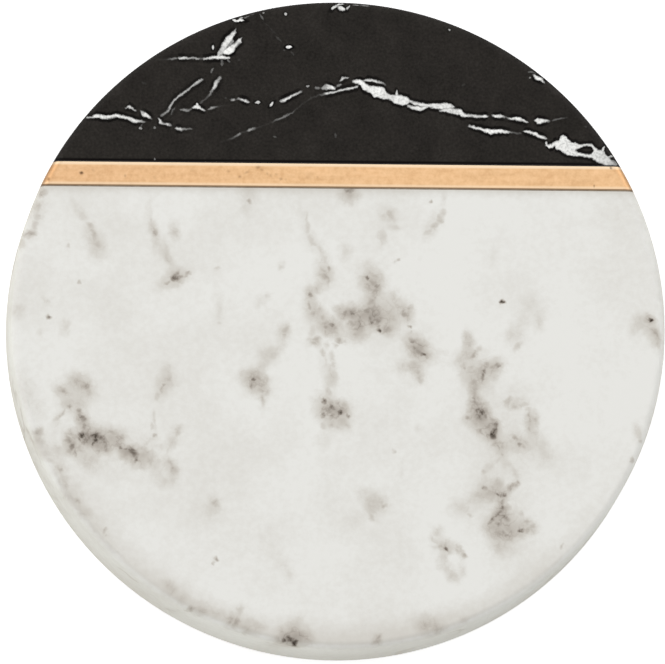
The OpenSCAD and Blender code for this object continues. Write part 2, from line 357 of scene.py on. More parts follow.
# The same for the white stone, where the last number is how many 8-bit levels darker it is
WHITE_MARKS = (
    # upper left
    (-38.9, 15.6, -38.1, 14.6, .5, 34), (-38, 14.4, -37.5, 12.9, .6, 46),
    (-38.5, 15, -37.5, 12.2, .4, 44), (-26.6, 11.8, -26.1, 8.6, .35, 22),
    (-29.3, 18.5, -29, 16.2, .4, 9), (-37.4, 12.6, -37.1, 11.8, .7, 40),
    (-38, 13.4, -36.9, 11.3, 1.2, 17), (-40.3, 18.1, -39.2, 15.8, .7, 10),
    (-28.55, 14.8, -28.5, 13.9, .5, 52), (-29, 15.6, -28.7, 14.2, .8, 20),
    (-29.2, 16.6, -29.1, 15.8, .5, 12), (-28.2, 12.6, -28, 11.8, .9, 10),
    (-25.4, 14.8, -25.3, 13.8, .5, 25), (-25.8, 14, .6, 15), (-26.6, 12.4, -26.2, 9.8, .5, 18),
    (-25.7, 6.9, -25.2, 7.1, .6, 105), (-27, 6.1, -26, 6.6, .4, 50),
    (-25.5, 7, -24.9, 8.2, .45, 70), (-25.2, 7.1, -24.2, 7.45, .4, 80),
    (-24.2, 7.4, -22.8, 7.8, .4, 55), (-25.8, 6.8, -24.4, 7.6, 1.2, 35),
    (-25.4, 6.1, -25.2, 5.9, .8, 18), (-44.85, .56, .4, 95), (-40.25, 6.2, .35, 28),
    (-41.6, 11.9, .3, 14), (-45.4, 21.1, -46.3, 19.2, .6, 42), (-46.3, 19.2, -46.9, 17, .6, 34),
    (-47, 17.2, -46.6, 16, .7, 26), (-46.9, 15.6, -47, 14.6, .6, 30),
    (-47.1, 14.4, -48.3, 13.2, .7, 46), (-48.5, 12.8, -48.9, 11.4, .5, 22),
    (-46, 20, -47.5, 14.5, 1.6, 12), (-49.3, 2, -49.3, .8, 1.2, 12), (-42.5, .6, -42.5, -2, .8, 12),
    (-45.6, 4, -45, 2.8, .5, 10), (-46.3, -1.6, -46.3, -2, .6, 8),
    (-14.2, 21, -13.6, 20.4, 1.6, 16), (-13.95, 19.3, -13.9, 18.6, .4, 46), (-14.4, 17.8, .9, 9),
    (-18.65, 8.5, .5, 15), (-9.3, 8.4, -8.5, 9.2, .6, 20), (-11.4, 3.9, -10.6, 4.5, .5, 14),
    (-12.2, 3.4, -12, 3.4, 1, 10), (-18.5, 4, -18.3, 0, .8, 9), (-18.4, 0, .5, 14),
    # upper middle
    (-4.9, 17.6, -4.8, 15, .4, 14), (-4.6, 14, -2.7, 11.3, .35, 20), (-2.5, 11, -2.3, 9, .4, 18),
    (-1.9, -2.6, -1.7, -4.2, .5, 14), (-.9, -5.4, -.9, -7.4, .5, 22),
    (-1.2, -9, -1.4, -11.6, .6, 26), (-2.3, -4.6, -2, -6.8, .35, 14),
    (16.3, 17.6, 15.2, 15.8, .4, 26), (15, 15.7, 13.4, 13.8, .35, 18), (5.2, 7.4, 5.9, 6.2, .9, 62),
    (5.4, 7.9, 6, 7.1, .6, 40), (5.6, 5.9, 5.4, 4.4, .7, 46), (5.4, 4.2, 4.6, 2.8, .7, 50),
    (8.3, 5.4, 9.6, 3.6, .35, 14), (-7.9, -.9, -8.5, -2.6, .4, 30), (-9, -3.4, -10.6, -4.8, .4, 12),
    (-11.6, -6, -12, -7.6, .4, 16), (1.4, 1.9, 2.6, 1.5, .9, 66), (4.6, 1.6, 5.6, .2, 1, 70),
    (-4.8, 15.6, -4.8, 14.4, .6, 18), (-4.8, 14.2, -3.4, 12.3, .6, 24),
    (-3.4, 12.3, -2.3, 10.6, .6, 18), (-2.6, 8.6, -2.3, 8.2, .5, 42),
    (-1.8, 9.1, -1.7, 8.3, .45, 48), (-2.3, 7.6, -1.9, 7.2, .9, 52), (-1.7, 7, -1.7, 6.2, .5, 34),
    (-2.2, 9, -1.9, 6.8, 1.5, 28), (-2.4, 6.3, -3.8, 4.8, .7, 24), (-4.25, 4.45, .5, 78),
    (-4.4, 4.9, -4.2, 4.2, 1.2, 25), (-4.65, 3, -4.55, 2.4, .5, 56), (-4.2, 2, -3.9, 1.4, .6, 42),
    (-3.4, 2.5, -3, 2.1, .6, 28), (-4.6, 3, -2.6, 1, 1.5, 24), (-2.6, 1.2, -2.2, .6, .7, 30),
    (-1.3, -.05, -.7, -.1, .6, 84), (-2, -.4, -1.6, -.7, .6, 72), (-2.2, -1, -2.1, -1.4, .4, 50),
    (-.9, -.7, -.7, -1.5, .6, 40), (-2.1, -.2, -.6, -.8, 1.7, 50), (-3.3, -2.45, .7, 50),
    (-3.9, -3, -3.5, -3, .5, 34), (-3.6, -2.7, 1.3, 20), (-3.9, 0, -3.9, -2, .7, 18),
    (-2.4, -4.2, -2.4, -4.9, .6, 24), (-1, -4.7, -.8, -5.8, .65, 22),
    (-.15, -2.5, .3, -2.45, .6, 42), (.3, -2.4, 1.2, -2.3, .4, 24), (-8, -.7, -8.5, -1.2, .7, 46),
    (-8.4, -1.4, -8.6, -2.4, .5, 26), (-8.2, -.9, -8.6, -1.2, 1.3, 20),
    (-11.4, -4.9, -10.4, -4.7, 1.5, 20), (1.2, 21.1, 2.4, 21.1, .9, 70),
    (1.4, 20.6, 2.2, 20.2, 1.6, 42), (7.6, 17.9, 8.2, 16.5, .6, 32), (6.7, 17, 7, 16.9, .7, 14),
    (8.6, 15.7, 9.4, 15.4, .5, 15), (6.9, 15, 6.8, 12.6, .8, 15), (1.1, 12.4, 1.2, 10.2, .8, 11),
    (9.6, 10.15, .35, 36), (9.2, 9.8, .4, 14), (14.6, 19.3, .27, 50),
    (16.5, 18.1, 16.3, 17.3, .6, 20), (16, 17.2, 15.7, 16.3, .55, 36),
    (15.6, 16.2, 14.5, 15.2, .5, 28), (14.4, 15, 13.3, 13.7, .45, 18),
    (16.7, 20.8, 16.5, 18.6, .6, 8), (4.7, 7.35, .45, 90), (4.2, 7.7, 5.2, 7, .7, 40),
    (5.7, 7.9, 5.8, 7, .6, 36), (5.95, 6.5, 5.95, 6.1, .5, 80), (5.2, 5.6, 5.6, 5.2, 1, 34),
    (5.3, 7.6, 5.5, 5.4, 1.6, 42), (5.75, 4.8, 5.6, 4.2, .45, 48), (5.4, 3.9, 5.1, 3.4, .5, 40),
    (.8, 2.05, 1.3, 1.85, .5, 84), (2.1, 1.8, 2.5, 1.4, .5, 72), (.6, 2, 2.8, 1.4, 1.6, 56),
    (1.6, 2.9, .7, 22), (2.9, 1, 3.1, .1, .6, 58), (3.2, .1, 3.3, -.5, .5, 58),
    (4.3, 2.6, 4.4, 1.4, .6, 74), (4.5, 1.4, 5.3, .4, .5, 86), (5.25, .4, .45, 92),
    (6.1, 1, 6.2, .5, .5, 60), (6.3, .1, 6.35, -.7, .4, 60), (6.4, -.95, .42, 118),
    (6.8, -.9, 8.2, -.8, 1.2, 44), (8.2, -.6, 8.5, -1, .8, 26), (4.2, 2.4, 6.4, .4, 1.6, 56),
    (3.2, 1.6, 4.6, 1.4, 1.6, 46), (6.6, 2, 8.6, 1, 2.4, 28), (9.3, 3.1, 10, 2.6, .8, 24),
    (8.5, 4.4, 9.2, 3.6, .7, 18), (2.4, -1.2, 2.8, -1.5, .6, 46), (3.4, -1, 3.7, -1.3, .6, 34),
    (2.6, .6, 3.2, -1.4, 1.6, 52), (0, -.2, .5, .3, .8, 24), (-.4, -3.2, -.4, -3.6, .5, 20),
    (10, 2.3, 10.3, 2, .5, 40), (10.4, 1.9, 10.7, 1.2, .6, 66), (10.8, 2.6, 11.3, 2.9, .6, 34),
    (10.9, 1, 11, .6, .4, 30), (10.3, 2.4, 10.8, 1.4, 1.3, 26), (11.05, -.4, .32, 80),
    (11.2, -.8, 11.5, -1.9, .25, 20), (11.3, -2.4, 11.6, -2.5, .65, 70),
    (11.8, -3, 12.2, -3.6, .6, 82), (12.4, -4, 12.8, -4.5, .7, 72),
    (13.1, -4.7, 13.5, -4.8, .6, 118), (13.6, -5, 14.2, -5.3, .5, 52),
    (11.4, -2.6, 13.8, -5.1, 1.6, 66), (12, -3.4, 13.6, -5, .9, 84),
    # upper right
    (20.1, -1.4, 20.3, -3.8, 1, 30), (21.4, -4.1, 20.8, -5.3, .5, 54),
    (19.4, -5, 18.6, -5.4, .9, 22), (21.9, -3.4, 21.7, -4.2, .6, 18), (29.8, 3.4, 1.6, 9),
    (31, 1.6, 31.2, 0, 1, 13), (28.3, -2.2, 27.4, -3.9, .55, 27), (27.4, -1.4, 26.8, -1.6, 1.2, 12),
    (25.2, 3.88, 25.6, 3.88, .4, 160), (48.15, 1.05, 48.85, .8, .35, 160),
    (47.6, 1.4, 49.2, .4, .8, 50), (49.1, -.4, 49.9, -2.4, .9, 40), (48, 1.6, 47.9, 1.4, .5, 30),
    (46.8, 1.4, 47.8, 1.2, .8, 20), (48.9, -.3, 49.6, -1.8, .8, 46),
    (49.5, -1.8, 49.9, -3.6, .6, 34), (47.2, 0, 45.8, -.4, 1, 10),
    # the cluster at the left rim and what leads to it
    (-41.2, -9, -40.4, -9.4, 1.3, 36), (-39.8, -9.9, -39.2, -10.5, .8, 58),
    (-38.9, -10.8, -38.8, -11.6, .7, 34), (-40.6, -9.2, -38.8, -11, 1.5, 26),
    (-42.9, -10.7, -42.4, -10.8, .8, 42), (-42.8, -11, 1.4, 22), (-41.7, -13.2, .5, 60),
    (-42.4, -12.8, -41.4, -13.2, 1.2, 26), (-43.55, -14.6, .35, 46),
    (-42.9, -13.8, -44.7, -16.1, .5, 24), (-40.6, -12.6, -39.6, -13, 1.5, 18),
    (-40.1, -13.7, -39.9, -14.3, .5, 56), (-39.7, -14.7, -39.4, -16, .55, 92),
    (-39.3, -16, -39.5, -17, .5, 72), (-39.95, -17.4, -40.1, -18, .6, 128),
    (-40.3, -18.2, -40.5, -18.7, .5, 70), (-41.2, -17.2, -41.9, -17.5, .8, 36),
    (-42.1, -18.1, -41.9, -19, .6, 82), (-41.9, -19.2, -41.4, -20.1, .5, 110),
    (-41.3, -20.3, -41, -21, .4, 50), (-39.1, -18, -38.9, -18.4, .6, 74),
    (-38.4, -17.8, -37.4, -18, .8, 125), (-37.4, -18.1, -36.7, -18.2, .6, 118),
    (-38.4, -18.5, -37.7, -18.6, .8, 128), (-38.4, -19.1, -38.1, -19.4, .5, 92),
    (-36.8, -18.8, -36.5, -19.2, .5, 58), (-40.4, -18.2, -36.8, -18.6, 1.8, 62),
    (-39.9, -14.4, -39.5, -16.8, 1.2, 52), (-42, -18.4, -41.4, -20.2, 1.2, 46),
    (-36.2, -17.3, -34, -17.2, .6, 40), (-33.9, -17.5, -33.4, -18.9, .7, 42),
    (-35.6, -18.2, -34, -18.6, 1.8, 30), (-36.5, -20.2, -36.1, -20.3, .5, 44),
    (-37.2, -20, -36.4, -19.4, 1, 28), (-34, -19.7, -33.5, -19.8, .5, 92),
    (-33.1, -19.7, -32.7, -20, .5, 92), (-33.2, -20.5, .5, 56), (-32.4, -20.3, -31.8, -21, .8, 132),
    (-31.7, -21.2, -31.6, -22, .5, 88), (-33.8, -19.9, -31.6, -21.3, 1.5, 64),
    (-31, -20.8, -30, -21.4, 2, 34), (-29.9, -21.6, -29.3, -22.2, .8, 38),
    (-30.6, -19.7, -30.5, -20.3, .7, 24), (-39.4, -21.4, -37.6, -22.2, 1.4, 18),
    (-39.3, -22.4, -38.8, -22.4, .8, 20), (-40.4, -19.4, -40, -20, 1, 32),
    (-46.7, -17.1, -46.3, -17.5, .7, 52), (-46.3, -18, -46, -19.6, .6, 26),
    (-45.6, -20.2, -44.8, -20.6, .7, 20), (-44, -19.8, -43.2, -20.2, .8, 20),
    (-43.3, -22.8, -42.9, -23.6, .5, 42), (-43.8, -22.6, -43.4, -23, .6, 22),
    (-42.9, -24, -42.4, -26.4, .8, 20), (-40.7, -27.8, -40.5, -28, .8, 36),
    (-41.9, -26.6, -40.8, -28.4, .9, 20), (-40.4, -28.6, -38.8, -30.6, 1, 20),
    (-27.15, -9.8, .5, 58), (-27.3, -10.1, -27.7, -10.8, .6, 36), (-26.5, -8, -26.1, -9.5, .8, 28),
    (-28, -11.2, -28.2, -12, .6, 22), (-27.4, -10.4, -26.3, -8.6, 1.6, 20), (-28.7, -17.7, .4, 42),
    (-29.3, -16, -29.1, -16.6, .4, 18), (-28.9, -18, -30.4, -19.4, .5, 14),
    (-26.5, -21.6, -26.3, -22.1, .6, 26), (-25.9, -22.8, -25.3, -23.4, .7, 40),
    (-26, -24.5, .8, 14), (-25.6, -17.9, -26.1, -20, .7, 20), (-24.7, -16.6, -25.3, -18, .6, 24),
    (-27.4, -24.7, -26.6, -24.9, 1, 10),
    # middle
    (-13.3, -9, .5, 118), (-13.7, -9.4, -13.5, -10.3, .6, 60), (-13.5, -8.4, -12.9, -9.8, 1.8, 44),
    (-12.5, -10.2, -11.9, -10.6, .6, 46), (-12.8, -9.8, -11.8, -9.6, 1.5, 36),
    (-11.3, -8.4, -11.6, -10, .8, 28), (-11.7, -10.6, -11.6, -12.9, .45, 32),
    (-11, -10.6, -11.2, -11.2, .5, 26), (-11.9, -6, -11.7, -7.8, .9, 15),
    (-1.3, -5.5, -1.2, -11, 1.1, 20), (-1.2, -7.4, -1, -8.8, .8, 28), (-2.3, -12.2, .5, 112),
    (-2.3, -12.8, -2.3, -13.8, .5, 56), (-2.3, -14.4, .5, 80), (-1.6, -12.6, -1.3, -13, .6, 48),
    (-1.1, -13, -.8, -13.7, .6, 94), (-.9, -14.2, -1, -14.9, .6, 68),
    (-.2, -13.9, .1, -13.9, .5, 130), (-.5, -12.3, -.3, -12.5, .6, 46),
    (-2.2, -13.4, .2, -13.8, 1.9, 56), (-1.3, -15.5, -.4, -15.7, .8, 32),
    (-2.1, -15.6, -1.8, -16, .7, 24), (.6, -12.7, .9, -13.2, .7, 40),
    (1.2, -14.1, 1.4, -15, .4, 68), (.3, -15.1, .9, -15.3, .8, 34),
    (-19.6, -28, -18.9, -28.2, .6, 30), (-20, -28.8, -19.8, -29.4, 1.2, 14),
    (11.5, -6.3, 12.3, -6.6, 1.1, 38), (12.4, -7.8, 12.7, -8.4, .8, 36),
    (11.9, -7.2, 12.2, -7.6, .9, 34), (10, -6.6, .5, 26), (9, -6.6, 11, -6.9, .6, 14),
    # the chain down the right
    (19.4, -6.5, .4, 46), (19.9, -5.8, 19.2, -6.3, .7, 24), (20.2, -6.9, 20.9, -7.2, .8, 30),
    (20.9, -8.6, 21.4, -9.3, 1, 34), (20, -8.4, .9, 20), (20.4, -7, 21.2, -9.4, 1.8, 26),
    (22.9, -6.8, 22.7, -7.3, .4, 94), (22.5, -7.6, 22.3, -8.3, .4, 82),
    (23, -6.1, 22.8, -6.5, .5, 36), (23.4, -6.5, 24.2, -6.6, .4, 50),
    (24.2, -6.6, 25.3, -6, .4, 60), (22.7, -6.6, 24.6, -6.8, 1.3, 28),
    (23.8, -7.5, 24.2, -7.9, 1, 24), (21, -10.2, 21.1, -11.2, .7, 28), (20.95, -11.65, .45, 58),
    (21, -12, 21.3, -12.6, .6, 46), (21.4, -13.1, 21.8, -13.5, .55, 88),
    (22, -13.7, 22.4, -13.8, .6, 104), (22.6, -14, 22.9, -14.4, .5, 86),
    (21.6, -14.3, 22.1, -14.5, .8, 74), (20, -14.3, .5, 48), (20.2, -14.2, 21, -14, .5, 34),
    (21.3, -13, 22.4, -14.8, 1.8, 58), (20.9, -14.8, 21.2, -15.8, .9, 40),
    (21.3, -16.4, 22.4, -16.9, .6, 46), (22.6, -16.9, 23.3, -17, .5, 46),
    (23.4, -14.6, 24.2, -15.2, .6, 52), (24.3, -15.4, 24.4, -16.3, .45, 84),
    (24.2, -16.4, 24, -16.9, .5, 108), (23.8, -17.1, .6, 148), (22.2, -15.6, 23.6, -16.2, 1.8, 38),
    (24, -17.8, 24.2, -18.6, .6, 34), (24.6, -18.6, 25, -19.4, .8, 24), (22.4, -23, .5, 28),
    (22.6, -22.6, 23.2, -22, .5, 12), (22.45, -25.4, .5, 62), (22.7, -25.7, 23.3, -26.2, .6, 40),
    (24.2, -26.4, 24.6, -26.4, .5, 84), (22.8, -26.2, 24.2, -26.6, 1.4, 36),
    (24.4, -24.6, 24.7, -25.2, .9, 34), (23.2, -27, 23.8, -27.2, .8, 30),
    (20.6, -26.4, 22, -26.6, .8, 18), (20.25, -29.8, .5, 20), (17.8, -28.6, 19.2, -28.8, 1.6, 10),
    (5, -27.4, 5.3, -28.6, 1.6, 22), (6.6, -28.4, 7.1, -28.4, .5, 34),
    (6.3, -27.4, 6.6, -27.9, .6, 22), (4.8, -29.4, 5.5, -31.1, .5, 28),
    (4.4, -27.2, 4.6, -27.6, .7, 20), (8.4, -19.9, .35, 24), (12.2, -16.5, .8, 8),
    (26.1, -12.1, 26.4, -11.7, .6, 30), (26.7, -12.3, 27.6, -12.6, .45, 36),
    (27.8, -12.4, 29, -12.1, .5, 24), (29.2, -12.8, 29.5, -13.4, .6, 20),
    (29.5, -13.9, 29.6, -14.6, .5, 38), (30.3, -14.2, 30.4, -15.2, .6, 36),
    (29.7, -15.8, 29.8, -16.6, .4, 46), (29.8, -14, 30.1, -16.4, 1.3, 26),
    (27.9, -18.3, 28.2, -18.6, .45, 74), (27, -17.7, 27.7, -18.1, .5, 44),
    (28.3, -18.7, 28.9, -19.3, .5, 42), (29.1, -18.2, 29.1, -18.8, .6, 30),
    (27.6, -18.2, 29, -18.9, 1.2, 26), (31.3, -17.8, 31.5, -18.8, .7, 12),
    (25.5, -18.4, 25.4, -19.2, .5, 42), (25.25, -19.8, 25.2, -20.2, .35, 44),
    (24.7, -18.3, 25.1, -18.7, .6, 30), (25.4, -18.6, 25.2, -19.8, 1.1, 22),
    (26, -18.4, 26.8, -18.4, .5, 16), (27.5, -24.6, 27.6, -24.9, .4, 56),
    (27.3, -25.1, 27.1, -25.3, .45, 48), (26.9, -25.4, 25.9, -26, .35, 46), (25.5, -26.5, .5, 80),
    (24.9, -26.6, 25.1, -26.6, .5, 60), (25.4, -26.9, 25.2, -27.8, .5, 42),
    (24.2, -26.4, 25.8, -26.4, 1.3, 36), (27.2, -22.6, 27.7, -23.6, .8, 14),
    (25.4, -28.4, 25.2, -29.2, .5, 84), (25.1, -29.4, 24.8, -29.9, .55, 96),
    (24.2, -30.5, 23.9, -30.5, .5, 84), (24.4, -30.2, 24.7, -29.9, .4, 60),
    (25.6, -30, 25.8, -30.7, .6, 76), (24.4, -30, 25.6, -29.4, 1.5, 52), (28, -29.6, .6, 24),
    (28.8, -30.6, 29, -30.8, .5, 48), (27.8, -31.9, 28.3, -32, .5, 104), (45.4, -21.1, .4, 40),
    (46, -15.4, 46.9, -17.7, .6, 20), (46.8, -17.9, .5, 28), (31.2, -19.8, 33.2, -21.4, 1.2, 10),
    (16.1, -35.05, 16.6, -35.05, .4, 118), (15.2, -34.9, 15.8, -34.9, .6, 42),
    (15, -34.7, 17.4, -34.8, 1.1, 34), (18.3, -34.7, 18.8, -35, .5, 30),
    (18.9, -35.2, 19.2, -35.9, .5, 24), (19.25, -36.1, 19.45, -36.5, .4, 44),
    (15.9, -36.3, 16, -37, .9, 16), (16.5, -38.2, 16.8, -38.4, .6, 14),
    (17.4, -39, 18.2, -39.6, 1, 20), (19, -39.2, 19.4, -38.2, .8, 12),
    (15.1, -32.2, 15.4, -33.2, .8, 14), (23.4, -31, 23.9, -31.2, .6, 48),
    (24.4, -31.2, 24.8, -31.4, .6, 58), (25.4, -32.1, 25.6, -32.6, .5, 68),
    (25.8, -32.8, 26, -33.1, .45, 72), (28.8, -32.4, 29.2, -32.5, .6, 46),
    (29, -31.1, 29.1, -30.9, .4, 30), (29.6, -31.3, 30.1, -31.8, .6, 30),
    (23.4, -31.6, 25.4, -32.6, 1.6, 40), (26, -31.4, 27.8, -32.2, 1.8, 34),
    (26, -33.3, 26.8, -33.3, .8, 36), (27.5, -32.8, 28.3, -33, .8, 24),
    (24, -34.6, 25, -34.8, 1.2, 20), (23.3, -32.6, 23.5, -33.2, .9, 26),
    (29.4, -32.6, 30, -32.4, .8, 24), (34.4, -34.3, 34.45, -34.8, .35, 24),
    # threads between them
    (22.8, -7, 25.7, -5.7, .35, 50), (21, -9.5, 21.1, -12, .6, 38),
    (29.7, -13.4, 29.8, -16.8, .4, 36), (24.2, -17.8, 25.2, -19.8, .4, 36),
    (25.1, -20.2, 24.6, -21.4, .4, 18), (24.4, -21.5, 22.5, -23.2, .4, 14),
    (27.6, -24.4, 25.6, -26.3, .4, 54), (22.4, -25.4, 24.3, -26.5, .4, 40),
    (25.3, -26.8, 25.2, -29, .5, 50), (25.2, -29, 24, -30.4, .5, 50),
    (25.3, -29.5, 25.8, -31, .5, 50), (25.4, -31.8, 26, -33, .45, 50),
    (14.3, -33, 15.2, -34.8, .5, 20), (17.5, -34.5, 19.4, -36.4, .4, 26),
    (15.6, -35.5, 16.2, -37.8, .5, 14), (-40.6, -9, -38.9, -11.3, .5, 44),
    (-42, -13.2, -44.6, -16, .35, 34), (-39.9, -13.9, -39.5, -16.8, .6, 80),
    (-24.2, -16.2, -25.7, -18.4, .4, 24), (-25.9, -18.8, -27, -21, .4, 14),
    (-26.6, -21.4, -25.2, -23.3, .45, 34), (-28.6, -13, -28.9, -17.5, .4, 11),
    (-46.9, -16.8, -46, -20, .5, 34), (-45.6, -20.5, -43.6, -23, .5, 16),
    (-42.9, -24.4, -41.9, -26.8, .5, 24), (-41.6, -27.2, -39, -30.4, .6, 18),
    # along the front rim
    (-7.7, -48.7, -7.6, -49, .5, 135), (-8.7, -49.4, -8.1, -49.6, .5, 105),
    (-7.2, -49.7, -6.7, -49.9, .55, 160), (-7.9, -49.1, -7.3, -49.5, .7, 110),
    (-8.4, -49.1, -6.2, -49.1, 1.9, 52), (-6, -49, -5.4, -49.4, 1, 34),
    (-9.6, -49.2, -9, -49.3, .7, 26), (-7, -47.8, -6.2, -46, 1, 14),
    (-5.2, -49.4, -4.6, -49.8, 1, 20), (6, -48.7, 5.8, -49.9, .5, 36),
    (5.4, -49.9, 6.2, -49.8, .6, 30), (12.2, -47, 13.6, -47.3, 1.3, 24),
    (14.8, -47.4, 15.6, -47.6, 1, 24), (19.3, -46.1, .8, 12), (-8, -39.3, .6, 8),
    (-23.1, -44.8, -22.6, -44.8, .6, 48), (-22.2, -44.9, -20.6, -45, 1, 28),
    (-20.2, -45.2, -17.8, -46, 1, 18), (-17.3, -46.3, -16.4, -46.5, .8, 34), (-15.9, -46.7, .8, 58),
    (-15.5, -45.6, -15.6, -44.4, .6, 26), (-15, -47.3, -13.4, -48, .9, 26),
    (-13, -47.2, -12.2, -47.4, 1, 16), (-27, -41.4, -25.6, -42, 1.1, 24),
    (-25, -42.8, -23.6, -43.8, 1, 18), (-19.03, -36.95, .33, 54),
    (-19.4, -37.4, -19.6, -37.6, .3, 30), (-36.25, -32.6, .35, 28), (-36, -33.2, .3, 14),
)

